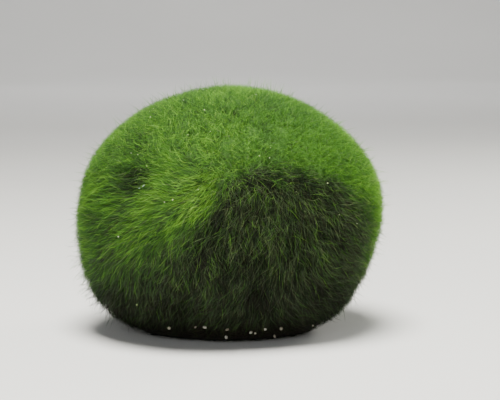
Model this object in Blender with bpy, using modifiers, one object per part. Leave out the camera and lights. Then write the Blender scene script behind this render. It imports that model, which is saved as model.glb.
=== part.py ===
"""A marimo moss ball: one loose, living ball of thread algae, resting on its own flattened foot.

The ball is one piece all the way through, so it is one solid. The solid is the outer shape at the
tips of the threads. Metres, +Z up. The origin is the middle of the resting foot: +X is the ball's
right and -Y its front.
"""

import math

import bmesh
import bpy
from mathutils import Vector

# The size of the ball at the tips of its threads.
WIDTH = 0.080
DEPTH = 0.076
HEIGHT = 0.0635

# The foot is the flat spot on which the ball's own weight has pressed it: a slice off its bottom.
FOOT_SLICE = 0.0040
CUTTER_MARGIN = 0.010

# The cage is a cube with this many cuts across each side, blown up into a ball.
CAGE_CUTS = 11
SMOOTHING_LEVELS = 1

# Lumps and hollows on the ball: name, direction from the heart, angle that it spreads over in
# degrees, and height in metres. A negative height is a hollow.
LUMPS = (
    ("crown", (0.05, 0.05, 1.00), 42, 0.0010),
    ("brow", (0.42, -0.72, 0.50), 24, 0.0022),
    ("hollow_under_brow", (0.38, -0.90, -0.12), 27, -0.0030),
    ("left_cheek", (-0.42, -0.85, 0.02), 25, 0.0024),
    ("dimple", (-0.63, -0.70, 0.33), 12, -0.0042),
    ("groove_above_dimple", (-0.42, -0.66, 0.62), 14, -0.0012),
    ("left_shoulder", (-0.80, -0.30, 0.48), 20, 0.0008),
    ("left_skirt", (-0.80, -0.25, -0.55), 22, 0.0026),
    ("left_foot_bulge", (-0.70, -0.22, -0.80), 18, 0.0014),
    ("right_foot_bulge", (0.70, -0.22, -0.72), 18, 0.0016),
    ("right_haunch", (0.95, -0.15, 0.16), 22, 0.0010),
    ("right_undercut", (0.86, -0.30, -0.24), 18, -0.0016),
    ("back_lobe", (0.30, 0.88, 0.10), 28, 0.0022),
    ("back_hollow", (-0.35, 0.86, -0.20), 22, -0.0022),
    ("back_shoulder", (-0.50, 0.60, 0.55), 24, 0.0012),
)

MOSS_GREEN = (0.075, 0.180, 0.026, 1.0)
MOSS_ROUGHNESS = 0.85


def clear_scene():
    for obj in list(bpy.data.objects):
        bpy.data.objects.remove(obj)


def new_collection(name):
    collection = bpy.data.collections.new(name)
    bpy.context.scene.collection.children.link(collection)
    return collection


def move_to(obj, collection):
    for owner in list(obj.users_collection):
        owner.objects.unlink(obj)
    collection.objects.link(obj)


def moss_material():
    material = bpy.data.materials.new("moss")
    material.use_nodes = True
    shader = material.node_tree.nodes["Principled BSDF"]
    shader.inputs["Base Color"].default_value = MOSS_GREEN
    shader.inputs["Roughness"].default_value = MOSS_ROUGHNESS
    shader.inputs["Metallic"].default_value = 0.0
    return material


def lump_height(direction):
    """How far the lumps and hollows together lift the surface in this direction."""
    lift = 0.0
    for _, centre, spread, height in LUMPS:
        turn = direction.angle(Vector(centre)) / math.radians(spread)
        lift += height * math.exp(-turn * turn)
    return lift


def ball_cage():
    """A cube subdivided and blown up into a ball, with the lumps and hollows on it."""
    bpy.ops.mesh.primitive_cube_add(size=HEIGHT)
    ball = bpy.context.object
    cage = bmesh.new()
    cage.from_mesh(ball.data)
    bmesh.ops.subdivide_edges(cage, edges=cage.edges, cuts=CAGE_CUTS, use_grid_fill=True)
    half_size = Vector((WIDTH, DEPTH, HEIGHT + FOOT_SLICE)) / 2
    for vertex in cage.verts:
        direction = even_direction(vertex.co)
        surface = half_size * direction
        vertex.co = surface + direction * lump_height(direction)
    cage.to_mesh(ball.data)
    cage.free()
    return ball


def even_direction(point):
    """The direction of a point on the cube, warped so that the cage's squares come out alike."""
    longest = max(abs(value) for value in point)
    warped = [math.tan(value / longest * math.pi / 4) for value in point]
    return Vector(warped).normalized()


def smooth(ball):
    subdivision = ball.modifiers.new("smooth", "SUBSURF")
    subdivision.levels = SMOOTHING_LEVELS
    subdivision.render_levels = SMOOTHING_LEVELS
    bpy.ops.object.modifier_apply(modifier=subdivision.name)


def fit_to_size(ball):
    """Scales the ball to its exact size and stands it so that the foot is at height zero."""
    points = [vertex.co for vertex in ball.data.vertices]
    low = Vector(min(point[axis] for point in points) for axis in range(3))
    high = Vector(max(point[axis] for point in points) for axis in range(3))
    wanted = Vector((WIDTH, DEPTH, HEIGHT + FOOT_SLICE))
    middle = (low + high) / 2
    for vertex in ball.data.vertices:
        offset = vertex.co - middle
        vertex.co = Vector(offset[axis] * wanted[axis] / (high - low)[axis] for axis in range(3))
        vertex.co.z += wanted.z / 2 - FOOT_SLICE


def ground_cutter():
    """The block under height zero that slices the foot flat."""
    side = WIDTH + 2 * CUTTER_MARGIN
    thickness = FOOT_SLICE + CUTTER_MARGIN
    bpy.ops.mesh.primitive_cube_add(size=1.0, location=(0.0, 0.0, -thickness / 2))
    cutter = bpy.context.object
    cutter.name = "ground_cutter"
    cutter.scale = (side, side, thickness)
    cutter.hide_render = True
    cutter.display_type = "WIRE"
    return cutter


def slice_foot(ball, cutter):
    cut = ball.modifiers.new("foot", "BOOLEAN")
    cut.operation = "DIFFERENCE"
    cut.solver = "EXACT"
    cut.object = cutter


def main():
    clear_scene()
    parts = new_collection("moss_ball_parts")
    cutters = new_collection("cutters")

    ball = ball_cage()
    ball.name = "moss_ball"
    smooth(ball)
    fit_to_size(ball)
    ball.data.shade_smooth()
    ball.data.materials.append(moss_material())
    move_to(ball, parts)

    cutter = ground_cutter()
    move_to(cutter, cutters)
    slice_foot(ball, cutter)


main()
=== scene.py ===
# %% [markdown]
# # A marimo moss ball
# A marimo is a loose ball of thread algae. It has no stem, leaf or root: it is thousands of soft
# green threads that grow out from the middle and tangle into a ball, and it rests on a flat spot
# that its own weight has pressed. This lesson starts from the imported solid, which gives the outer
# shape at the tips of the threads, and grows the ball over again as mesh: a dark inner felt, coats
# of real threads over it, loose wisps and strays, and the pale grains that are caught in them.

# %% Load the frame
import math

import bpy
import numpy as np
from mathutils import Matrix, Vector
from mathutils.bvhtree import BVHTree


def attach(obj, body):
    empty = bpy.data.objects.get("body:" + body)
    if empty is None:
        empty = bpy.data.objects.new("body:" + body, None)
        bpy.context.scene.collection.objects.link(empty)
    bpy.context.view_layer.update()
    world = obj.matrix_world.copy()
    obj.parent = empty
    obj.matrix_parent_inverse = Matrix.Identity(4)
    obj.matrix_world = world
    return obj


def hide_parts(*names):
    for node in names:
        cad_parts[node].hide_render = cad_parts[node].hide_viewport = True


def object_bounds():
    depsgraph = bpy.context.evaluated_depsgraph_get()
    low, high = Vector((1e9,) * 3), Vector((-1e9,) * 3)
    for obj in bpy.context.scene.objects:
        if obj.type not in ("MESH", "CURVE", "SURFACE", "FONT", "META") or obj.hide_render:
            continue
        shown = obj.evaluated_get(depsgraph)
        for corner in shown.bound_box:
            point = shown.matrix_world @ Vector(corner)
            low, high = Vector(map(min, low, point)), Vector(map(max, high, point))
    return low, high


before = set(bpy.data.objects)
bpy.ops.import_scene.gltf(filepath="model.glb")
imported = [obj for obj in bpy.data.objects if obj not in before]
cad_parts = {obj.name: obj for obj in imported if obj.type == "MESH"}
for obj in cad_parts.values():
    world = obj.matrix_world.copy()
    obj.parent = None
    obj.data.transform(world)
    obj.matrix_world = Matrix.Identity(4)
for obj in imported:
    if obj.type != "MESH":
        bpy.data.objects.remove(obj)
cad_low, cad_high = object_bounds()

cad_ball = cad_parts["moss_ball"]
HEART = (cad_low + cad_high) / 2
MM = 0.001
print("ball in millimetres:", [round(side / MM, 1) for side in cad_high - cad_low])

# %% [markdown]
# ## Where the tips of the threads are
# Everything on the ball is placed by a direction from its heart. A ray could be sent at the solid
# for every point of every thread, but there are hundreds of thousands of them. It is quicker to
# send rays once, two degrees apart all round, and to read in between them afterwards.

# %% Read the outer shape once
STEP = 2


def to_angles(directions):
    """Azimuth, 0 at the front and growing to the right, and height above the level, in degrees."""
    azimuth = np.degrees(np.arctan2(directions[..., 0], -directions[..., 1]))
    height = np.degrees(np.arcsin(np.clip(directions[..., 2], -1, 1)))
    return azimuth, height


def from_angles(azimuth, height):
    """The direction that has this azimuth and height."""
    azimuth, height = np.radians(azimuth), np.radians(height)
    level = np.cos(height)
    return np.stack([np.sin(azimuth) * level, -np.cos(azimuth) * level, np.sin(height)], -1)


def read_envelope(ball):
    """How far from the heart the solid's surface is, on a table of directions."""
    corners = [vertex.co for vertex in ball.data.vertices]
    faces = [polygon.vertices for polygon in ball.data.polygons]
    tree = BVHTree.FromPolygons(corners, faces)
    azimuths, heights = np.meshgrid(np.arange(0, 360, STEP), np.arange(-90, 91, STEP))
    rays = from_angles(azimuths, heights)
    distances = [tree.ray_cast(HEART, Vector(ray))[3] for ray in rays.reshape(-1, 3)]
    return np.array(distances, float).reshape(azimuths.shape)


ENVELOPE = read_envelope(cad_ball)


def tip_distance(directions):
    """How far from the heart the tips of the threads lie in these directions."""
    azimuth, height = to_angles(directions)
    across = azimuth % 360 / STEP
    up = (height + 90) / STEP
    column = np.floor(across).astype(int)
    row = np.minimum(np.floor(up).astype(int), ENVELOPE.shape[0] - 2)
    a, b = across - column, up - row
    column = column % ENVELOPE.shape[1]
    after = (column + 1) % ENVELOPE.shape[1]
    low = ENVELOPE[row, column] * (1 - a) + ENVELOPE[row, after] * a
    high = ENVELOPE[row + 1, column] * (1 - a) + ENVELOPE[row + 1, after] * a
    return low * (1 - b) + high * b


print("tips lie", (ENVELOPE.min() / MM).round(1), "to", (ENVELOPE.max() / MM).round(1), "mm out")

# %% [markdown]
# ## Smooth noise on a ball
# Nothing on a grown thing is even, so a smooth random field is needed, with soft highs and lows of
# a chosen size. Blender has noise textures for materials, but here the field also has to steer
# shapes, so it is built from a few random waves that cross the ball in all directions.

# %% Make smooth noise
WAVE_COUNT = 14


def waves(places, fineness, seed):
    """A smooth random field, mostly between -1 and 1. A higher fineness has smaller lumps."""
    rng = np.random.default_rng(seed)
    ways = rng.normal(size=(WAVE_COUNT, places.shape[-1])) * fineness
    starts = rng.uniform(0, 2 * math.pi, WAVE_COUNT)
    return np.sin(places @ ways.T + starts).sum(-1) / math.sqrt(WAVE_COUNT)


ALL_ROUND = from_angles(*np.meshgrid(np.arange(0, 360, 5), np.arange(-85, 90, 5)))
print("noise up to", waves(ALL_ROUND, 5, 1).max().round(2))

# %% [markdown]
# ## Where the coat changes
# On top the coat is a short, loose fuzz. On the sides the threads are long and lie combed away from
# one crown, like hair. Under the brow at the front the ball is in its own shade, and the threads
# there are dark olive and brown. Two lines drawn round the ball say where fuzz turns into combed
# coat and where green turns dark, each as a height at a few azimuths. The dark zone's edge is sharp
# under the brow and blurred away from it.

# %% Draw two lines round the ball
FUZZ_LINE = ((-90, 12), (-60, 16), (-40, 26), (-20, 28), (-6, 20), (8, 15), (24, 14), (40, 12),
             (58, 2), (74, -14), (95, -10), (140, 8), (180, 16), (230, 14))
BROW_LINE = ((-90, -28), (-60, -25), (-36, -20), (-22, -13), (-13, -3), (-4, 9), (5, 18), (14, 21),
             (28, 18.5), (42, 16), (56, 8), (66, -6), (74, -20), (95, -30), (140, -30), (200, -32))
BROW_MIDDLE = 28
BROW_HALF_WIDTH = 22
RIGHT_SIDE = 50
SHARP_EDGE = 10
BLUR_AWAY = 18
BLUR_ON_RIGHT = 16


def ease(value):
    """0 below 0, 1 above 1, and a smooth rise between."""
    value = np.clip(value, 0, 1)
    return value * value * (3 - 2 * value)


def line_height(line, azimuth):
    """The height of a line round the ball at these azimuths."""
    azimuths, heights = zip(*line)
    return np.interp(azimuth, azimuths, heights, period=360)


def under_brow(directions):
    """1 in the big dark zone under the brow and low down, and else 0."""
    azimuth, height = to_angles(directions)
    right = ease((azimuth - RIGHT_SIDE) / 20)
    away = ease((np.abs(azimuth - BROW_MIDDLE) - BROW_HALF_WIDTH) / 36)
    edge = line_height(BROW_LINE, azimuth) + (1.5 + 3 * right) * waves(directions, 12, 12)
    width = SHARP_EDGE + BLUR_AWAY * away + BLUR_ON_RIGHT * right
    return ease((edge - height) / width + 0.5)


print("dark zone:", under_brow(ALL_ROUND).mean().round(2), "of the ball")

# %% [markdown]
# ## The dimple and its fold
# On the upper left the ball has a dimple, and a fold runs from it up to the crown, soft above and
# sharp below, where a ridge catches the light. The solid already has the dimple and a groove above
# it. What is marked here is how dark their threads are, because they stand in each other's shade.
# Each hollow has an azimuth, a height, a spread in degrees and a darkness. The fold is an arc
# between two directions, and its darkness is read off the distance from the arc.

# %% Mark the dimple and its fold
HOLLOWS = (
    (-46, 15, 5.5, 1.3), (-41, 17, 4, 0.8), (-54, 33, 5, 0.30), (-62, -4, 5, 0.40),
    (-47, -14, 6, 0.2), (150, 5, 16, 0.3), (-140, -8, 16, 0.25), (-165, 30, 12, 0.3),
)
CREASE = from_angles(-42, 10), from_angles(-18, 38)
CREASE_DARKNESS = 0.65
CREASE_SOFT_SIDE, CREASE_SHARP_SIDE = 7.0, 1.8
CREASE_DEEPEST = 0.35
RIDGE_OFF, RIDGE_SPREAD = 4.5, 3.0


def unit(vectors):
    """The same vectors, each with length one."""
    return vectors / np.maximum(np.linalg.norm(vectors, axis=-1, keepdims=True), 1e-12)


def near(directions, centre, spread):
    """1 at the centre, falling off over so many degrees."""
    turn = np.degrees(np.arccos(np.clip(directions @ centre, -1, 1)))
    return np.exp(-((turn / spread) ** 2))


def across_crease(directions):
    """Degrees above the crease, and the share of its length gone along it."""
    start, end = CREASE
    above = unit(np.cross(end, start))
    along = np.cross(above, start)
    off = np.degrees(np.arcsin(np.clip(directions @ above, -1, 1)))
    gone = np.degrees(np.arctan2(directions @ along, directions @ start))
    return off, gone / np.degrees(np.arccos(start @ end))


def fading(share):
    """How deep the crease is: it is deepest near the dimple and runs out on the crown."""
    first = ease(share / 0.2 + 0.3)
    then = 1 - 0.7 * (share - CREASE_DEEPEST) / 0.75
    return np.clip(np.where(share < CREASE_DEEPEST, first, then), 0, 1)


def creased(directions):
    """How dark the fold is: soft above, and sharp below under its ridge."""
    off, share = across_crease(directions)
    soft = np.exp(-np.abs(off) / CREASE_SOFT_SIDE)
    sharp = 1 + off / CREASE_SHARP_SIDE
    return np.clip(np.where(off > 0, soft, sharp), 0, 1) * fading(share)


def ridged(directions):
    """The ridge just under the crease, which catches the light."""
    off, share = across_crease(directions)
    return np.exp(-(((off + RIDGE_OFF) / RIDGE_SPREAD) ** 2)) * fading(share)


def hollowed(directions):
    """How dark the dimple and the folds make the coat."""
    spots = sum(depth * near(directions, from_angles(azimuth, height), spread)
                for azimuth, height, spread, depth in HOLLOWS)
    return spots + CREASE_DARKNESS * creased(directions)


print("darkest hollow:", hollowed(ALL_ROUND).max().round(2))

# %% [markdown]
# ## Three maps of the coat
# Everything that follows asks one of three questions about a place: is it dark, is it combed, and
# is it on the brow, where the fuzz is short and even? Each answer is a number between 0 and 1, so
# that one kind of coat can blend into the next.

# %% Put the maps together
SMOOTH_BROW, BROW_SPREAD = from_angles(42, 30), 27
COMB_BLEND = 20


def shaded(directions):
    """1 wherever the coat is dark: in the big dark zone and in the hollows."""
    return np.clip(under_brow(directions) + hollowed(directions), 0, 1)


def combed(directions):
    """0 where the coat is loose fuzz and 1 where it is combed."""
    azimuth, height = to_angles(directions)
    edge = line_height(FUZZ_LINE, azimuth) + 4 * waves(directions, 5, 11)
    return np.maximum(ease((edge - height) / COMB_BLEND + 0.5), 0.9 * shaded(directions))


def smooth_brow(directions):
    """1 on the brow, where the fuzz is short and even, and else 0."""
    return near(directions, SMOOTH_BROW, BROW_SPREAD) * (1 - shaded(directions))


print("combed", combed(ALL_ROUND).mean().round(2), "shaded", shaded(ALL_ROUND).mean().round(2))

# %% [markdown]
# ## Valleys and streaks
# The coat rolls in soft valleys a millimetre deep, some millimetres apart, where clumps of threads
# meet. The combed coat also has lighter and darker streaks that run the way it is combed. They are
# the same noise, but read on a map laid round the crown, whose lines all run away from it.

# %% Lay out valleys and streaks
CROWN = from_angles(6, 32)
FOOT_RIM = -38
VALLEY_DEPTH = 0.7 * MM


def foot_share(directions):
    """1 on the pressed foot and 0 away from it."""
    azimuth, height = to_angles(directions)
    return ease((FOOT_RIM - height) / 20)


def valley(directions):
    """How far the coat sinks in its valleys, in metres."""
    rolls = 0.5 * waves(directions, 8, 61) + 0.5 * waves(directions, 17, 62)
    rolls += 0.35 * shaded(directions) * waves(directions, 34, 63)
    rolls = np.clip(rolls - 0.2, -0.3, 1.5) * (1 - 0.75 * smooth_brow(directions))
    rolls *= 0.5 + 0.5 * combed(directions)
    return VALLEY_DEPTH * rolls * (1 - foot_share(directions))


def streaks(directions, fineness, seed):
    """Light and dark streaks that run away from the crown."""
    right = unit(np.cross(CROWN, (0.0, 0.0, 1.0)))
    down = np.cross(CROWN, right)
    round_crown = unit(np.stack([directions @ right, directions @ down], -1))
    away = np.arccos(np.clip(directions @ CROWN, -1, 1))
    return waves(np.concatenate([round_crown, 0.25 * away[..., None]], -1), fineness, seed)


print("valleys down to", (valley(ALL_ROUND).max() / MM).round(2), "mm")

# %% [markdown]
# ## Helpers for materials
# A material is a tree of shader nodes. The same few nodes come back in each of them: a noise, a
# colour ramp that turns a value into a colour, and a bump. Each gets a small helper.

# %% Write the helpers
def greys(*stops):
    """Grey stops for a colour ramp, each from its place and how light it is."""
    return tuple((place, (light, light, light)) for place, light in stops)


def new_material(name):
    """A material with its node tree, and its Principled shader."""
    material = bpy.data.materials.new(name)
    material.use_nodes = True
    return material, material.node_tree, material.node_tree.nodes["Principled BSDF"]


def colour_ramp(tree, stops, value):
    """A colour ramp with these stops, fed by this value."""
    ramp = tree.nodes.new("ShaderNodeValToRGB")
    band = ramp.color_ramp
    while len(band.elements) > 1:
        band.elements.remove(band.elements[-1])
    band.elements[0].position = stops[0][0]
    band.elements[0].color = (*stops[0][1], 1)
    for place, colour in stops[1:]:
        band.elements.new(place).color = (*colour, 1)
    tree.links.new(value, ramp.inputs["Fac"])
    return ramp.outputs["Color"]


def multiply(tree, first, second):
    """Two colours multiplied."""
    mix = tree.nodes.new("ShaderNodeMix")
    mix.data_type = "RGBA"
    mix.blend_type = "MULTIPLY"
    mix.inputs["Factor"].default_value = 1.0
    tree.links.new(first, mix.inputs["A"])
    tree.links.new(second, mix.inputs["B"])
    return mix.outputs["Result"]


def noise_at(tree, place, scale, detail=2.0):
    """A noise read at this place."""
    noise = tree.nodes.new("ShaderNodeTexNoise")
    noise.inputs["Scale"].default_value = scale
    noise.inputs["Detail"].default_value = detail
    tree.links.new(place, noise.inputs["Vector"])
    return noise.outputs["Fac"]


def stretched(tree, place, scale):
    """The place, stretched by a Mapping node."""
    mapping = tree.nodes.new("ShaderNodeMapping")
    mapping.inputs["Scale"].default_value = scale
    tree.links.new(place, mapping.inputs["Vector"])
    return mapping.outputs["Vector"]


def add_bump(tree, shader, height, strength, distance):
    """A bump from this height on the shader."""
    bump = tree.nodes.new("ShaderNodeBump")
    bump.inputs["Strength"].default_value = strength
    bump.inputs["Distance"].default_value = distance
    tree.links.new(height, bump.inputs["Height"])
    tree.links.new(bump.outputs["Normal"], shader.inputs["Normal"])


print("a ramp's stops:", greys((0, 0.2), (1, 0.8)))

# %% [markdown]
# ## The colours of the moss
# The threads come in two families of colour: greens, from dark moss to bright leaf, and the olives
# and browns of the dark zones. Both are laid end to end on one strip of colour. Each thread is
# given a place on the strip, and the strip is read from the thread's own UV map: U is the place and
# V runs from its root to its tip. That way tens of thousands of threads of many colours can share
# one material. The roots are darker, because little light gets to them, and the moss has almost no
# shine, because a shine would lay a grey mist over it.

# %% Mix the thread material
OLIVES = (
    (0.00, (0.009, 0.006, 0.004)),
    (0.14, (0.022, 0.020, 0.016)),
    (0.28, (0.048, 0.054, 0.042)),
    (0.44, (0.082, 0.108, 0.060)),
    (0.58, (0.112, 0.158, 0.066)),
    (1.00, (0.300, 0.380, 0.170)),
)
GREENS = (
    (0.00, (0.008, 0.008, 0.005)),
    (0.28, (0.030, 0.053, 0.026)),
    (0.44, (0.050, 0.108, 0.036)),
    (0.56, (0.074, 0.172, 0.040)),
    (0.70, (0.112, 0.300, 0.032)),
    (0.84, (0.205, 0.470, 0.048)),
    (1.00, (0.330, 0.620, 0.090)),
)
FAMILY_WIDTH = 0.49
GREEN_START = 0.51
OLIVE_STRIP = tuple((FAMILY_WIDTH * place, colour) for place, colour in OLIVES)
GREEN_STRIP = tuple((GREEN_START + FAMILY_WIDTH * place, colour) for place, colour in GREENS)
ROOT_TO_TIP = greys((0.0, 0.30), (0.35, 0.62), (0.75, 1.0))
HUES = (0.30, (0.78, 0.94, 0.86)), (0.50, (1.0, 1.0, 1.0)), (0.70, (1.05, 0.92, 0.70))
TIP_ROUGHNESS = greys((0.0, 0.80), (0.6, 0.55), (1.0, 0.65))
TONE_MAP = "OFBake"
CELLS_PER_THREAD = 24
HUE_STRETCH = (170, 5, 1)
THREAD_SHINE = 0.02


def thread_material():
    """The material of every thread: its tone, times the root's shade, times a change of hue."""
    material, tree, shader = new_material("moss_thread")
    own_map = tree.nodes.new("ShaderNodeUVMap")
    own_map.uv_map = TONE_MAP
    split = tree.nodes.new("ShaderNodeSeparateXYZ")
    tree.links.new(own_map.outputs["UV"], split.inputs["Vector"])
    tone = colour_ramp(tree, OLIVE_STRIP + GREEN_STRIP, split.outputs["X"])
    along = colour_ramp(tree, ROOT_TO_TIP, split.outputs["Y"])
    hue_place = stretched(tree, own_map.outputs["UV"], HUE_STRETCH)
    hue = colour_ramp(tree, HUES, noise_at(tree, hue_place, 1.0))
    colour = multiply(tree, multiply(tree, tone, along), hue)
    tree.links.new(colour, shader.inputs["Base Color"])
    roughness = colour_ramp(tree, TIP_ROUGHNESS, split.outputs["Y"])
    tree.links.new(roughness, shader.inputs["Roughness"])
    cell_place = stretched(tree, own_map.outputs["UV"], (1, CELLS_PER_THREAD, 1))
    add_bump(tree, shader, noise_at(tree, cell_place, 1.0), 0.3, 0.01 * MM)
    shader.inputs["Specular IOR Level"].default_value = THREAD_SHINE
    return material


moss_thread = thread_material()
print("thread material with", len(moss_thread.node_tree.nodes), "nodes")

# %% [markdown]
# ## The inner felt
# Between the threads one looks down onto more threads, packed too tightly to tell apart. That is
# modelled as one closed skin, a few millimetres under the tips: an icosphere whose points are moved
# to the right distance from the heart, with small tufts that catch the light. It is dark, since
# little light gets that far in, and green only where the coat is.

# %% Make the felt
FELT_CUTS = 6
FELT_DEPTH = 2.2 * MM
FELT_DEPTH_AT_FOOT = 0.35 * MM
FELT_SHINE = 0.1
FELT_TUFTS = 1800
FELT_TONES = (
    (0.00, (0.009, 0.006, 0.004)),
    (0.28, (0.030, 0.036, 0.018)),
    (0.44, (0.046, 0.096, 0.024)),
    (0.60, (0.080, 0.200, 0.028)),
)
FELT_MOTTLE = (0.35, (0.40, 0.38, 0.36)), (0.50, (0.80, 0.80, 0.80)), (0.65, (1.2, 1.2, 1.1))


def felt_depth(directions):
    """How far the felt lies under the tips. It comes nearer to them on the foot."""
    tufts = 0.25 * MM * waves(directions, 26, 21) + 0.2 * MM * waves(directions, 60, 22)
    free = FELT_DEPTH + tufts + valley(directions)
    foot = foot_share(directions)
    return free * (1 - foot) + FELT_DEPTH_AT_FOOT * foot


def felt_tone(directions):
    """How light the felt is: brown-black at 0 and green at 0.6."""
    green = 0.50 + 0.10 * smooth_brow(directions) - 0.08 * combed(directions)
    return green - 0.40 * shaded(directions)


def felt_material():
    """Dark and mottled, with its green or brown read from the tone of each point."""
    material, tree, shader = new_material("moss_felt")
    own_tone = tree.nodes.new("ShaderNodeAttribute")
    own_tone.attribute_name = "tone"
    place = tree.nodes.new("ShaderNodeTexCoord").outputs["Object"]
    tufts = noise_at(tree, place, FELT_TUFTS, 4)
    fine = colour_ramp(tree, FELT_MOTTLE, tufts)
    tone = colour_ramp(tree, FELT_TONES, own_tone.outputs["Fac"])
    tree.links.new(multiply(tree, tone, fine), shader.inputs["Base Color"])
    add_bump(tree, shader, tufts, 0.8, 0.4 * MM)
    roughness = colour_ramp(tree, TIP_ROUGHNESS, tufts)
    tree.links.new(roughness, shader.inputs["Roughness"])
    shader.inputs["Specular IOR Level"].default_value = FELT_SHINE
    return material


def points_of(mesh):
    """A mesh's points as an array."""
    flat = np.empty(len(mesh.vertices) * 3)
    mesh.vertices.foreach_get("co", flat)
    return flat.reshape(-1, 3)


def make_felt():
    """The closed skin under the threads, with a tone at each of its points."""
    bpy.ops.object.select_all(action="DESELECT")
    bpy.ops.mesh.primitive_ico_sphere_add(subdivisions=FELT_CUTS, radius=1)
    felt = bpy.context.object
    felt.name = "moss_felt"
    directions = unit(points_of(felt.data))
    distance = tip_distance(directions) - felt_depth(directions)
    places = np.array(HEART) + directions * distance[:, None]
    felt.data.vertices.foreach_set("co", places.ravel())
    tone = felt.data.attributes.new("tone", "FLOAT", "POINT")
    tone.data.foreach_set("value", felt_tone(directions))
    felt.data.materials.append(felt_material())
    bpy.ops.object.shade_smooth()
    return felt


def make_it_moss(piece):
    """This piece rides on the ball's body and stands for its solid."""
    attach(piece, "root")
    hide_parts("moss_ball")


moss_felt = make_felt()
make_it_moss(moss_felt)
print("felt with", len(moss_felt.data.polygons), "triangles")

# %% [markdown]
# ## One thread
# A thread is modelled by hand: a triangle extruded a few times, narrowed a little each time, and
# drawn together into a tip. It is one unit long here, and only gets its real length and thickness
# when it is copied. Most threads are seen only as a glimpse between others, so they are straight
# and have 4 triangles. The coat's upper threads get a bend and 10 triangles, and the wisps on top,
# which are seen one by one, two bends and 16. Three sides are enough for a tenth of a millimetre.

# %% Model three threads
NARROWING = 0.88


def model_thread(lengths):
    """A thread of so many straight lengths."""
    bpy.ops.object.select_all(action="DESELECT")
    bpy.ops.mesh.primitive_circle_add(vertices=3, radius=1, fill_type="NGON")
    bpy.ops.object.mode_set(mode="EDIT")
    bpy.ops.mesh.select_all(action="SELECT")
    lift = {"value": (0, 0, 1 / lengths)}
    for _ in range(lengths - 1):
        bpy.ops.mesh.extrude_region_move(TRANSFORM_OT_translate=lift)
        bpy.ops.transform.resize(value=(NARROWING, NARROWING, 1))
    bpy.ops.mesh.extrude_region_move(TRANSFORM_OT_translate=lift)
    bpy.ops.mesh.merge(type="CENTER")
    bpy.ops.mesh.select_all(action="SELECT")
    bpy.ops.mesh.normals_make_consistent(inside=False)
    bpy.ops.object.mode_set(mode="OBJECT")
    return bpy.context.object


class ThreadModel:
    """The modelled thread's mesh as arrays, ready to be copied."""

    def __init__(self, thread, lengths):
        mesh = thread.data
        places = points_of(mesh)
        self.lengths = lengths
        self.level = np.round(places[:, 2] * lengths).astype(int)
        self.reach = np.hypot(places[:, 0], places[:, 1])
        self.turn = np.arctan2(places[:, 1], places[:, 0])
        self.corners = np.array([loop.vertex_index for loop in mesh.loops])
        self.starts = np.array([face.loop_start for face in mesh.polygons])
        self.sizes = np.array([face.loop_total for face in mesh.polygons])
        self.triangles = int((self.sizes - 2).sum())
        self.map = self.unroll(mesh)
        bpy.data.objects.remove(thread)

    def unroll(self, mesh):
        """Each corner's place on a flat strip: across it round the thread, and up it to the tip."""
        strip = np.zeros((len(mesh.loops), 2))
        for face in mesh.polygons:
            middle = math.atan2(face.center.y, face.center.x)
            for loop in face.loop_indices:
                vertex = self.corners[loop]
                off = (self.turn[vertex] - middle + math.pi) % (2 * math.pi) - math.pi
                off = off if self.reach[vertex] > 1e-6 else 0.0
                strip[loop, 0] = 0.5 + (middle + off) / (2 * math.pi)
                strip[loop, 1] = self.level[vertex] / self.lengths
        return strip


STRAIGHT_THREAD, BENT_THREAD, CURLY_THREAD = [ThreadModel(model_thread(n), n) for n in (1, 2, 3)]
for model in (STRAIGHT_THREAD, BENT_THREAD, CURLY_THREAD):
    print("a thread with", model.triangles, "triangles")

# %% [markdown]
# ## Copying the thread along its paths
# Hair systems would be the quick way to do this, but they are lost when a model is exported. So
# each thread is a bent copy of a modelled one: the copy's points are laid round the path that the
# thread takes, ring by ring, and all the copies of a coat are joined in one mesh. It is done with
# arrays, because a loop over tens of thousands of threads would take minutes.

# %% Bend copies of the thread
GROUND = 0.03 * MM
TONE_WIDTH = 0.006
MOST_TRIANGLES = 200000


def bend_copies(model, paths, radii, twist):
    """The points of one bent copy of the thread for each path."""
    ahead = np.empty_like(paths)
    ahead[:, 1:-1] = paths[:, 2:] - paths[:, :-2]
    ahead[:, 0] = paths[:, 1] - paths[:, 0]
    ahead[:, -1] = paths[:, -1] - paths[:, -2]
    ahead = unit(ahead)
    outward = unit(paths - np.array(HEART))
    side = unit(np.cross(ahead, outward))
    up = np.cross(ahead, side)
    turn = model.turn[None, :] + twist[:, None]
    reach = model.reach[None, :] * radii[:, None]
    points = paths[:, model.level]
    points = points + (reach * np.cos(turn))[..., None] * side[:, model.level]
    points = points + (reach * np.sin(turn))[..., None] * up[:, model.level]
    points[..., 2] = np.maximum(points[..., 2], GROUND)
    return points


def join_threads(name, model, paths, radii, tones, rng):
    """One mesh of all these threads, each with its tone in its UV map."""
    count, size, corners = len(paths), len(model.level), len(model.corners)
    points = bend_copies(model, paths, radii, rng.uniform(0, 2 * math.pi, count))
    copy = np.arange(count)[:, None]
    mesh = bpy.data.meshes.new(name)
    mesh.vertices.add(count * size)
    mesh.vertices.foreach_set("co", points.ravel())
    mesh.loops.add(count * corners)
    mesh.loops.foreach_set("vertex_index", (model.corners + copy * size).ravel())
    mesh.polygons.add(count * len(model.starts))
    mesh.polygons.foreach_set("loop_start", (model.starts + copy * corners).ravel())
    mesh.polygons.foreach_set("loop_total", np.tile(model.sizes, count))
    across = tones[:, None] + (model.map[None, :, 0] - 0.5) * TONE_WIDTH
    strip = np.stack([np.clip(across, 0, 1), np.broadcast_to(model.map[:, 1], across.shape)], -1)
    mesh.uv_layers.new(name=TONE_MAP, do_init=False).uv.foreach_set("vector", strip.ravel())
    mesh.update(calc_edges=True)
    mesh.shade_smooth()
    mesh.materials.append(moss_thread)
    piece = bpy.data.objects.new(name, mesh)
    bpy.context.scene.collection.objects.link(piece)
    return piece


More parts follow.
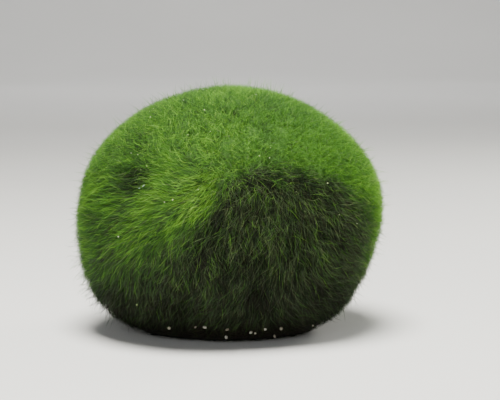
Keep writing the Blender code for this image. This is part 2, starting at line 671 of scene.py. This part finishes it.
print("a piece holds at most", MOST_TRIANGLES // BENT_THREAD.triangles, "bent threads")

# %% [markdown]
# ## Locks
# Threads stick together in locks, as wet hair does: every thread belongs to the nearest of some
# thousands of locks, leans towards its lock's tip, and shares a little of its lock's tone, length
# and depth. That is what makes the clumps and dark gaps of a real coat. The roots are spread along
# a spiral that covers a ball evenly, and then nudged, so that there are no bald spots and no rows.

# %% Set out the locks
LOCK_COUNT = 12000
LOCK_REACH = 0.15
LOCK_LEAN = 0.16
ROOTS_AT_ONCE = 4000


def spread_evenly(count, rng, jitter=0.6):
    """Directions spread evenly over the ball along a spiral, and then nudged at random."""
    step = np.arange(count) + 0.5
    height = 1 - 2 * step / count
    turn = math.pi * (3 - math.sqrt(5)) * step
    level = np.sqrt(1 - height * height)
    even = np.stack([level * np.cos(turn), level * np.sin(turn), height], -1)
    return unit(even + rng.normal(size=even.shape) * jitter * math.sqrt(4 * math.pi / count))


def comb_direction(directions):
    """Which way the coat is combed: away from the crown, swirling a little."""
    away = unit(directions * (directions @ CROWN)[:, None] - CROWN)
    across = np.cross(directions, away)
    swirl = 0.35 * waves(directions, 3.5, 41) + 0.25 * waves(directions, 11, 42)
    swirl += 0.22 * waves(directions, 34, 43) + 1.2 * near(directions, CROWN, 14)
    return away * np.cos(swirl)[:, None] + across * np.sin(swirl)[:, None]


def make_locks():
    """Where each lock starts and ends, and what its threads share."""
    rng = np.random.default_rng(31)
    roots = spread_evenly(LOCK_COUNT, rng)
    return {
        "root": roots,
        "tip": unit(roots + comb_direction(roots) * LOCK_REACH),
        "tone": rng.normal(size=LOCK_COUNT),
        "length": rng.uniform(0.8, 1.2, LOCK_COUNT),
        "depth": rng.uniform(0, 1, LOCK_COUNT),
        "lean": rng.normal(size=LOCK_COUNT) * LOCK_LEAN,
    }


def nearest_lock(roots):
    """The number of the lock that each root belongs to."""
    rows = [np.argmax(roots[start:start + ROOTS_AT_ONCE] @ LOCKS["root"].T, axis=1)
            for start in range(0, len(roots), ROOTS_AT_ONCE)]
    return np.concatenate(rows)


LOCKS = make_locks()
print(LOCK_COUNT, "locks")

# %% [markdown]
# ## How a thread grows
# A thread starts in the felt and comes out to the tips' distance, and on the way it bends over in
# the direction that the coat is combed, or in the fuzz in any direction at all. Each kind of
# thread has a habit: how loosely it follows the comb, how long it lies, how many stand upright,
# how far its tip sinks into the coat or stands proud of it in millimetres, how much it curls to the
# side, and in its tone how much lighter it is than the coat and how uneven.

# %% Grow paths
SHORTEST = 3.7 * MM
COMBED_EXTRA = 1.1 * MM
ROOT_DEPTH = 2.7 * MM
ROOT_DEPTH_AT_FOOT = 0.5 * MM
UPRIGHT_IN_FUZZ = 0.06
UPRIGHT_SWEEP = 0.3
LOCK_PULL = 0.24
UNDER_HABIT = dict(loose=0.40, length=0.9, upright=0.05, sink=0.45, proud=0.30,
                   curl=0.2, lighter=-0.02, uneven=0.15)
COAT_HABIT = dict(loose=0.42, length=1.0, upright=0.0, sink=0.22, proud=0.45,
                  curl=0.35, lighter=0.03, uneven=0.20)


def lie_direction(roots, lock, comb, loose, rng):
    """Which way each thread lies: in the fuzz any way, and in the combed coat with its lock."""
    way = comb_direction(roots)
    across = np.cross(roots, way)
    loose = loose + 1.6 * (1 - comb) + 0.3 * comb * shaded(roots)
    lean = rng.normal(size=len(roots)) * loose + LOCKS["lean"][lock]
    return way * np.cos(lean)[:, None] + across * np.sin(lean)[:, None]


def tip_depths(roots, lock, comb, habit, rng):
    """How deep each tip lies under the outer shape: less than nothing stands proud of it."""
    count = len(roots)
    depth = rng.exponential(habit["sink"], count) - habit["proud"] * rng.random(count) ** 2
    depth += LOCKS["depth"][lock] * (0.12 + 0.3 * comb) * habit["sink"] / 0.32
    return depth * MM * (1 - foot_share(roots)) + valley(roots)


def sweep_lengths(roots, lock, comb, habit, rng):
    """How far each thread lies over, and which threads stand upright instead."""
    sweep = (SHORTEST + COMBED_EXTRA * comb) * LOCKS["length"][lock] * habit["length"]
    sweep *= rng.uniform(0.6, 1.2, len(roots)) * (1 - 0.45 * np.clip(hollowed(roots), 0, 1))
    sweep *= 1 - 0.35 * smooth_brow(roots)
    upright = rng.random(len(roots)) < habit["upright"] + UPRIGHT_IN_FUZZ * (1 - comb)
    sweep[upright] *= UPRIGHT_SWEEP
    return sweep, upright


def grow_paths(roots, lengths, habit, rng):
    """Each thread's path, lock and comb, and how deep its tip lies."""
    lock = nearest_lock(roots)
    comb = combed(roots)
    foot = foot_share(roots)
    way = lie_direction(roots, lock, comb, habit["loose"], rng)
    across = np.cross(roots, way)
    sweep, upright = sweep_lengths(roots, lock, comb, habit, rng)
    curl = rng.normal(size=(len(roots), lengths + 1)) * habit["curl"] * MM
    curl[:, 0] = 0
    pull = LOCK_PULL * comb * ~upright
    root_depth = (ROOT_DEPTH + valley(roots)) * (1 - foot) + ROOT_DEPTH_AT_FOOT * foot
    tip_depth = np.minimum(tip_depths(roots, lock, comb, habit, rng), root_depth * 0.85)
    reach = tip_distance(roots)
    paths = np.empty((len(roots), lengths + 1, 3))
    for level in range(lengths + 1):
        share = level / lengths
        rise = share ** 0.75
        move = way * (sweep * share / reach)[:, None]
        move += across * (curl[:, level] / reach)[:, None]
        towards = (pull * share ** 1.5)[:, None]
        direction = unit(unit(roots + move) * (1 - towards) + LOCKS["tip"][lock] * towards)
        depth = root_depth * (1 - rise) + tip_depth * rise
        paths[:, level] = direction * (tip_distance(direction) - depth)[:, None]
    return paths + np.array(HEART), lock, comb, tip_depth


probe = spread_evenly(500, np.random.default_rng(1))
probe_paths = grow_paths(probe, 2, COAT_HABIT, np.random.default_rng(2))[0]
probe_lengths = np.linalg.norm(np.diff(probe_paths, axis=1), axis=-1).sum(1) / MM
print("threads are", probe_lengths.min().round(1), "to", probe_lengths.max().round(1), "mm long")

# %% [markdown]
# ## The tone of a thread
# Where a thread lies decides most of its tone: leaf green on top, a little darker on the crown and
# brow, darker low down, on the left side and in the hollows, dark under the brow, lighter on the
# right rim, with a few lighter or darker patches. The darkening on the crown, low down, on the left
# and in the hollows is painted shade; under the brow it is painted shade together with the threads'
# own olive and brown; the lighter rim is a painted glow of light through the fuzzy edge. Tips sunk
# deep in the coat are painted darker as shade, and proud ones lighter. On top of that come streaks,
# its lock's tone and its own. In the dark zones most threads are nearly black and one in three
# still catches the light, which is what makes a shaded coat look deep, where an even dark colour
# would look painted. More than half of the threads there are olive or brown.

# %% Choose tones and thicknesses
GREEN_TONE = 0.66
LIGHT_SHARE = 0.32
OLIVE_UNDER_BROW = 0.38
OLIVE_IN_DARK = 0.2
OLIVE_ANYWHERE = 0.03
LOW_LINE = -14
LOW_FADE = 22
THREAD_RADIUS = 0.043 * MM
COMBED_THICKER = 0.003 * MM
# The first two patches, on the right rim, are a painted glow of light through the fuzzy edge, and
# the one on the top right is painted shade against the lamp above. The rest are patches of tone.
# Each is a place, a spread and a lift.
TONE_PATCHES_AND_PAINTED_LIGHT = (
    ((84, 6), 17, 0.09), ((86, -20), 17, 0.09), ((-15, 11), 8, 0.07), ((40, 52), 20, -0.08),
    ((15, 38), 8, -0.04), ((2, 42), 7, 0.04), ((-30, 44), 8, -0.04), ((-45, 40), 6, 0.04),
    ((-52, 34), 14, -0.05), ((-60, 0), 14, -0.04), ((40, 29), 10, 0.03),
)


def near_foot(directions):
    """1 low on the ball, where the coat is painted darker as shade and is more even, and else 0."""
    azimuth, height = to_angles(directions)
    return ease((LOW_LINE - height) / LOW_FADE)


def evenness(directions):
    """How much the tones may vary: little on the brow, and less near the foot."""
    return (1 - 0.8 * smooth_brow(directions)) * (1 - 0.4 * near_foot(directions))


def tone_of_place(directions):
    """The tone that a place gives to its threads, with painted shade and painted light in it."""
    azimuth, height = to_angles(directions)
    blotches = 0.03 * waves(directions, 5, 51) + 0.035 * waves(directions, 15, 52)
    tone = GREEN_TONE + blotches * evenness(directions)
    for place, spread, lift in TONE_PATCHES_AND_PAINTED_LIGHT:
        tone += lift * near(directions, from_angles(*place), spread)
    # Painted shade: the crown and the brow are a little darker, to hold back the lamp above, which
    # lights them most.
    tone -= 0.06 * ease((height - 38) / 30) + 0.02 * smooth_brow(directions)
    tone += 0.05 * ridged(directions)
    # The dark zone under the brow is painted shade together with the threads' own darker colour,
    # and the hollows are painted shade.
    tone -= 0.33 * shaded(directions)
    # Painted shade: the coat is darker low down, away from the lamp above.
    tone -= 0.14 * ease((5 - height) / 60) + 0.035 * near_foot(directions)
    # Painted shade: the left side is darker too.
    return tone - 0.09 * ease((-azimuth - 10) / 90) * (azimuth > -120)


def tone_of(paths, lock, comb, tip_depth, habit, rng):
    """Each thread's place on the strip of colours."""
    count = len(paths)
    middle = unit(paths[:, 1] - np.array(HEART))
    dark = shaded(middle)
    even = evenness(middle)
    tone = tone_of_place(middle) + 0.05 * comb * streaks(middle, 30, 53)
    light = rng.random(count) < LIGHT_SHARE
    tone += dark * np.where(light, 0.24 - 0.08 * near_foot(middle), -0.10)
    tone += LOCKS["tone"][lock] * 0.018 * comb * even
    tone += rng.normal(size=count) * habit["uneven"] * even
    # Painted shade and light: tips sunk deep in the coat are darker, and tips standing proud of it
    # lighter.
    tone -= 0.04 * np.clip(tip_depth / MM, -1, 2)
    tone = np.clip(tone + habit["lighter"], 0.02, 0.98)
    olive_share = OLIVE_UNDER_BROW * under_brow(middle) + OLIVE_IN_DARK * dark + OLIVE_ANYWHERE
    olive = rng.random(count) < olive_share
    return FAMILY_WIDTH * tone + GREEN_START * ~olive


def radius_of(comb, thickness, rng):
    """The radius of each thread. Combed ones are a little thicker."""
    return (THREAD_RADIUS + COMBED_THICKER * comb) * thickness * rng.uniform(0.7, 1.3, len(comb))


def grow_threads(name, model, roots, habit, thickness, rng):
    """Grows one piece of threads from these roots."""
    paths, lock, comb, tip_depth = grow_paths(roots, model.lengths, habit, rng)
    tones = tone_of(paths, lock, comb, tip_depth, habit, rng)
    piece = join_threads(name, model, paths, radius_of(comb, thickness, rng), tones, rng)
    make_it_moss(piece)
    print(name, len(roots), "threads,", len(roots) * model.triangles, "triangles")


print("mean tone of a place:", tone_of_place(probe).mean().round(2))

# %% [markdown]
# ## The coats
# The coat is grown in six parts: the fuzz on the crown, four coats round the sides, and the foot's.
# A thread belongs to the part in which its root lies. Each part has an undercoat of straight
# threads and a top coat of bent ones. The front is grown more densely than the back, whose threads
# are thicker instead, and the foot, which the ball sits on, has only an undercoat. The table gives
# each part's straight threads, bent threads and thickness.

# %% Grow the coats
COATS = (
    ("crown_fuzz", 24000, 9800, 1.0),
    ("left_front_coat", 22000, 9800, 1.0),
    ("right_front_coat", 22000, 9800, 1.0),
    ("right_back_coat", 14000, 5800, 1.25),
    ("left_back_coat", 14000, 5800, 1.25),
    ("foot_coat", 3500, 0, 1.4),
)
CROWN_EDGE = 36
FOOT_EDGE = -46
FRONT_EDGE = 92
UNDER_THICKNESS = 0.9
ROOTS_ALL_ROUND = 150000


def coat_of(roots):
    """Which of the coats each root lies in."""
    azimuth, height = to_angles(roots)
    left_front = (azimuth < 0) & (azimuth >= -FRONT_EDGE)
    right_front = (azimuth >= 0) & (azimuth < FRONT_EDGE)
    side = np.select([left_front, right_front, azimuth >= FRONT_EDGE], [1, 2, 3], 4)
    return np.where(height > CROWN_EDGE, 0, np.where(height < FOOT_EDGE, 5, side))


def roots_of_coat(number, count, rng):
    """So many roots in one of the coats, evenly spread."""
    roots = spread_evenly(ROOTS_ALL_ROUND, rng)
    roots = roots[coat_of(roots) == number]
    return roots[rng.permutation(len(roots))[:count]]


def grow_coat(number, name, straight, bent, thickness):
    """The undercoat and the top coat of one part."""
    rng = np.random.default_rng(100 + number)
    roots = roots_of_coat(number, straight, rng)
    under = thickness * UNDER_THICKNESS
    grow_threads(name + "_under", STRAIGHT_THREAD, roots, UNDER_HABIT, under, rng)
    if bent:
        roots = roots_of_coat(number, bent, rng)
        grow_threads(name, BENT_THREAD, roots, COAT_HABIT, thickness, rng)


for number, coat in enumerate(COATS):
    grow_coat(number, *coat)

# %% [markdown]
# ## Wisps and strays
# Fine wisps lie loosely over the coat, lighter than it is, and cross each other. Some threads
# stand up out of the ball altogether, and draw its soft, fuzzy edge. Low on the left a thin tuft
# has come loose. Wisps and tuft are grown from the curly thread. The back has fewer wisps.

# %% Grow wisps and strays
WISP_HABIT = dict(loose=0.65, length=1.0, upright=0.1, sink=0.05, proud=0.8,
                  curl=0.5, lighter=0.09, uneven=0.08)
STRAY_HABIT = dict(loose=1.6, length=0.5, upright=0.3, sink=0.0, proud=2.8,
                   curl=0.35, lighter=0.05, uneven=0.09)
TUFT_HABIT = dict(loose=0.8, length=0.7, upright=0.3, sink=0.0, proud=3.6,
                  curl=0.7, lighter=0.10, uneven=0.09)
WISP_COUNT, STRAY_COUNT, TUFT_COUNT = 8500, 4600, 170
WISPS_IN_FRONT = 100
WISPS_AT_BACK = 0.45
STRAYS_ABOVE = -44
TUFT, TUFT_SPREAD = from_angles(-82, -29), 0.10

rng = np.random.default_rng(300)
wisp_roots = spread_evenly(WISP_COUNT, rng, 0.9)
wisps_in_front = np.abs(to_angles(wisp_roots)[0]) < WISPS_IN_FRONT
wisp_roots = wisp_roots[wisps_in_front | (rng.random(WISP_COUNT) < WISPS_AT_BACK)]
grow_threads("wisps", CURLY_THREAD, wisp_roots, WISP_HABIT, 0.85, rng)

stray_roots = spread_evenly(STRAY_COUNT, rng, 0.9)
stray_roots = stray_roots[to_angles(stray_roots)[1] > STRAYS_ABOVE]
grow_threads("stray_threads", BENT_THREAD, stray_roots, STRAY_HABIT, 1.05, rng)

tuft_roots = unit(TUFT + rng.normal(size=(TUFT_COUNT, 3)) * TUFT_SPREAD)
grow_threads("loose_tuft", CURLY_THREAD, tuft_roots, TUFT_HABIT, 0.9, rng)

# %% [markdown]
# ## A grain of sand
# A few grains of pale sand are caught low on the ball, where it touches the ground, and smaller
# specks are sprinkled over it. One grain is modelled: an icosphere whose points are pushed about at
# random, with its edges worn by a narrow bevel, so that it is angular but not sharp. It is copied
# at many turns and sizes, and sits among the tips of the threads.

# %% Model a grain and its stone
# The sand tints are painted darker, as shade, since the grains sit low under the ball; the grains'
# own colours are grey to pale beige.
SAND_TINTS_WITH_PAINTED_SHADE = (0.35, (0.14, 0.12, 0.08)), (0.50, (0.28, 0.26, 0.20)), (0.62, (0.46, 0.44, 0.38))
SPECK_TINTS = (0.30, (0.32, 0.46, 0.12)), (0.50, (0.55, 0.65, 0.30)), (0.65, (0.80, 0.84, 0.60))
STONE_MOTTLE = (0.3, (0.75, 0.75, 0.72)), (0.6, (1.0, 1.0, 1.0))
STONE_ROUGHNESS = greys((0.3, 0.35), (0.7, 0.65))
TINT_SCALE = 160
STONE_GRAIN = 5000


def stone_material(name, tints):
    """Stone whose tint changes from grain to grain, with a fine grain of its own."""
    material, tree, shader = new_material(name)
    place = tree.nodes.new("ShaderNodeTexCoord").outputs["Object"]
    tint = colour_ramp(tree, tints, noise_at(tree, place, TINT_SCALE, 1))
    fine = noise_at(tree, place, STONE_GRAIN, 3)
    mottle = colour_ramp(tree, STONE_MOTTLE, fine)
    tree.links.new(multiply(tree, tint, mottle), shader.inputs["Base Color"])
    roughness = colour_ramp(tree, STONE_ROUGHNESS, fine)
    tree.links.new(roughness, shader.inputs["Roughness"])
    add_bump(tree, shader, fine, 0.5, 0.03 * MM)
    return material


def model_grain():
    """One angular grain, a unit across."""
    bpy.ops.object.select_all(action="DESELECT")
    bpy.ops.mesh.primitive_ico_sphere_add(subdivisions=1, radius=0.5)
    bpy.ops.object.mode_set(mode="EDIT")
    bpy.ops.mesh.select_all(action="SELECT")
    bpy.ops.transform.vertex_random(offset=0.12, seed=4)
    bpy.ops.mesh.bevel(offset=0.05, segments=1)
    bpy.ops.mesh.normals_make_consistent(inside=False)
    bpy.ops.object.mode_set(mode="OBJECT")
    return bpy.context.object


def scatter(name, model, places, sink, flatness, material, rng):
    """Sets copies of the grain in the coat, each with its own mesh, and joins them."""
    bpy.ops.object.select_all(action="DESELECT")
    for azimuth, height, size in places:
        grain = model.copy()
        grain.data = model.data.copy()
        bpy.context.scene.collection.objects.link(grain)
        direction = from_angles(azimuth, height)
        distance = tip_distance(direction) - sink * size * MM
        grain.location = HEART + Vector(direction * distance)
        grain.rotation_euler = rng.uniform(0, 2 * math.pi, 3)
        grain.scale = Vector(rng.uniform(0.8, 1.2, 3) * (1, 1, flatness)) * size * MM
        grain.select_set(True)
    bpy.context.view_layer.objects.active = grain
    bpy.ops.object.join()
    bpy.ops.object.transform_apply(location=True, rotation=True, scale=True)
    grain.name = name
    grain.data.name = name
    grain.data.materials.append(material)
    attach(grain, "root")
    print(name, len(places), "grains,", len(grain.data.polygons), "faces")


grain_model = model_grain()
print("a grain has", len(grain_model.data.polygons), "faces")

# %% [markdown]
# ## The grains in the coat
# The sand grains sit where the ball would pick them up: in a band low on the front. The specks are
# finer, under half a millimetre, and lie scattered over the rest of the ball. A pale flake, perhaps
# from a shell, is stuck in the dimple. Each place is an azimuth, a height and a size in
# millimetres. A sink is how deep a grain's middle lies under the tips, in grain sizes.

# %% Scatter the grains
SAND_PLACES = (
    (-35, -46, 1.0), (-19, -45, 0.8), (-14, -45, 1.1), (-2, -47, 0.9),
    (-3, -54, 1.1), (12, -50, 0.9), (15, -51, 0.7), (20, -48, 0.7),
    (30, -48, 1.1), (31, -55, 1.0), (52, -47, 0.7), (-120, -46, 0.8),
    (160, -48, 0.9),
)
SPECK_PLACES = (
    (-21, 9, 0.45), (-24, 8, 0.30), (-42, -5, 0.45), (-12, 13, 0.35),
    (-18, 52, 0.35), (-22, 37, 0.35), (12, 26, 0.32), (16, 25, 0.32),
    (39, 14, 0.38), (-43, -32, 0.40),
)
FLAKE_PLACES = ((-38.5, 14, 1.0), (-40, 12.8, 0.4))
FLAKE_TINTS = (0.3, (0.45, 0.58, 0.58)), (0.7, (0.75, 0.85, 0.85))
SPECK_COUNT = 55
SPECK_SIZES = 0.14, 0.26
SAND_SINK, SPECK_SINK, FLAKE_SINK = 0.0, -0.2, 0.6


def random_specks(rng):
    """Small specks anywhere but low on the ball."""
    azimuths = rng.uniform(-180, 180, SPECK_COUNT)
    heights = np.degrees(np.arcsin(rng.uniform(-0.2, 0.95, SPECK_COUNT)))
    return tuple(zip(azimuths, heights, rng.uniform(*SPECK_SIZES, SPECK_COUNT)))


rng = np.random.default_rng(400)
pale_sand = stone_material("pale_sand", SAND_TINTS_WITH_PAINTED_SHADE)
pale_speck = stone_material("pale_speck", SPECK_TINTS)
pale_flake = stone_material("pale_flake", FLAKE_TINTS)
scatter("sand_grains", grain_model, SAND_PLACES, SAND_SINK, 0.8, pale_sand, rng)
speck_places = SPECK_PLACES + random_specks(rng)
scatter("specks", grain_model, speck_places, SPECK_SINK, 0.8, pale_speck, rng)
scatter("shell_flake", grain_model, FLAKE_PLACES, FLAKE_SINK, 0.3, pale_flake, rng)
bpy.data.objects.remove(grain_model)

# %% [markdown]
# ## The floor
# The ball stands on a plain pale floor. A flat plane would end in a hard line behind it, so the
# floor is a wide disc whose rim curls up all round, as a studio's paper sweep does: the disc's edge
# is extruded outwards and upwards, ring by ring, along a quarter circle. The first ring is flat, so
# that the smooth shading of the curve doesn't spread onto the disc.

# %% Make the floor
FLOOR_COLOURS = (0.3, (0.78, 0.77, 0.74)), (0.7, (0.82, 0.81, 0.78))
DISC_RADIUS = 1.4
FLOOR_RADIUS = 1.6
SWEEP_RADIUS = 0.9
SWEEP_RINGS = 16
FLOOR_ROUGHNESS = 0.85


def sweep_profile():
    """The radius and height of each ring: the flat one at the floor's edge, and then the curve."""
    turns = [math.pi / 2 * ring / SWEEP_RINGS for ring in range(SWEEP_RINGS + 1)]
    return [(FLOOR_RADIUS + SWEEP_RADIUS * math.sin(turn), SWEEP_RADIUS * (1 - math.cos(turn)))
            for turn in turns]


def make_floor():
    """The disc and its sweep, pale and faintly mottled."""
    bpy.ops.object.select_all(action="DESELECT")
    bpy.ops.mesh.primitive_circle_add(vertices=96, radius=DISC_RADIUS, fill_type="NGON")
    floor = bpy.context.object
    floor.name = "floor"
    bpy.ops.object.mode_set(mode="EDIT")
    bpy.ops.mesh.select_all(action="SELECT")
    bpy.ops.mesh.region_to_loop()
    radius, height = DISC_RADIUS, 0.0
    for next_radius, next_height in sweep_profile():
        lift = {"value": (0, 0, next_height - height)}
        bpy.ops.mesh.extrude_region_move(TRANSFORM_OT_translate=lift)
        grow = next_radius / radius
        bpy.ops.transform.resize(value=(grow, grow, 1), center_override=(0, 0, next_height))
        radius, height = next_radius, next_height
    bpy.ops.mesh.select_all(action="SELECT")
    bpy.ops.object.mode_set(mode="OBJECT")
    bpy.ops.object.shade_smooth()
    material, tree, shader = new_material("pale_floor")
    place = tree.nodes.new("ShaderNodeTexCoord").outputs["Object"]
    colour = colour_ramp(tree, FLOOR_COLOURS, noise_at(tree, place, 3))
    tree.links.new(colour, shader.inputs["Base Color"])
    shader.inputs["Roughness"].default_value = FLOOR_ROUGHNESS
    floor.data.materials.append(material)
    return floor


floor = make_floor()
print("floor", [round(side, 2) for side in floor.dimensions], "m")

# %% [markdown]
# ## Light
# Soft studio light: a broad lamp above and a little in front, which leaves the part under the brow
# in shade, a weak one behind on the right, which brightens the fuzzy edge, and a weak fill. Four
# more round the ball are turned away from it, and only light the far floor. The table gives each
# lamp's place, size, power and colour.

# %% Set the lights
LAMPS = (
    ("key", (-0.04, -0.15, 0.60), 0.30, 11.2, (1.0, 0.99, 0.94)),
    ("rim", (0.45, 0.35, 0.30), 0.25, 1.8, (1.0, 1.0, 0.92)),
    ("fill", (-0.2, -0.8, 0.30), 0.5, 1.9, (0.95, 0.98, 1.0)),
)
BACKDROP_LAMPS = 4
BACKDROP_OUT, BACKDROP_UP, BACKDROP_AIM = 1.3, 0.9, 1.9
BACKDROP_SIZE, BACKDROP_POWER = 1.0, 9.0
WHITE = (1.0, 1.0, 1.0)
SKY_COLOUR = (0.8, 0.85, 0.9, 1)
SKY_STRENGTH = 0.10


def add_lamp(name, place, size, power, colour, target=HEART):
    """A round lamp at this place, turned towards its target."""
    lamp = bpy.data.lights.new(name, "AREA")
    lamp.shape = "DISK"
    lamp.size = size
    lamp.energy = power
    lamp.color = colour
    light = bpy.data.objects.new(name, lamp)
    light.location = place
    light.rotation_euler = (target - Vector(place)).to_track_quat("-Z", "Y").to_euler()
    bpy.context.scene.collection.objects.link(light)


for lamp in LAMPS:
    add_lamp(*lamp)
for number in range(BACKDROP_LAMPS):
    away = Vector(from_angles(180 + 360 * number / BACKDROP_LAMPS, 0))
    place = away * BACKDROP_OUT + Vector((0, 0, BACKDROP_UP))
    aim = away * BACKDROP_AIM
    add_lamp(f"backdrop_{number}", place, BACKDROP_SIZE, BACKDROP_POWER, WHITE, aim)
world = bpy.data.worlds.new("studio")
world.use_nodes = True
sky = world.node_tree.nodes["Background"]
sky.inputs["Color"].default_value = SKY_COLOUR
sky.inputs["Strength"].default_value = SKY_STRENGTH
bpy.context.scene.world = world
print(len(LAMPS) + BACKDROP_LAMPS, "lamps")

# %% [markdown]
# ## Camera
# The camera looks slightly down on the ball from a little way off, as someone bending down to it
# would. The long lens fills the picture with it.

# %% Place the camera
CAMERA_TILT = 7.0
CAMERA_DISTANCE = 0.42
LENS = 117.2
STAND = Vector((0, 0, 30.5)) * MM
AIM = Vector((5.0, 0, 33.6)) * MM


def add_camera():
    """The scene's camera, tilted down at the ball."""
    tilt = math.radians(CAMERA_TILT)
    back = Vector((0, -math.cos(tilt), math.sin(tilt)))
    camera = bpy.data.objects.new("camera", bpy.data.cameras.new("camera"))
    camera.data.lens = LENS
    camera.location = STAND + back * CAMERA_DISTANCE
    camera.rotation_euler = (AIM - camera.location).to_track_quat("-Z", "Y").to_euler()
    bpy.context.scene.collection.objects.link(camera)
    bpy.context.scene.camera = camera
    return camera


camera = add_camera()
print("camera at", [round(value, 3) for value in camera.location], "m")
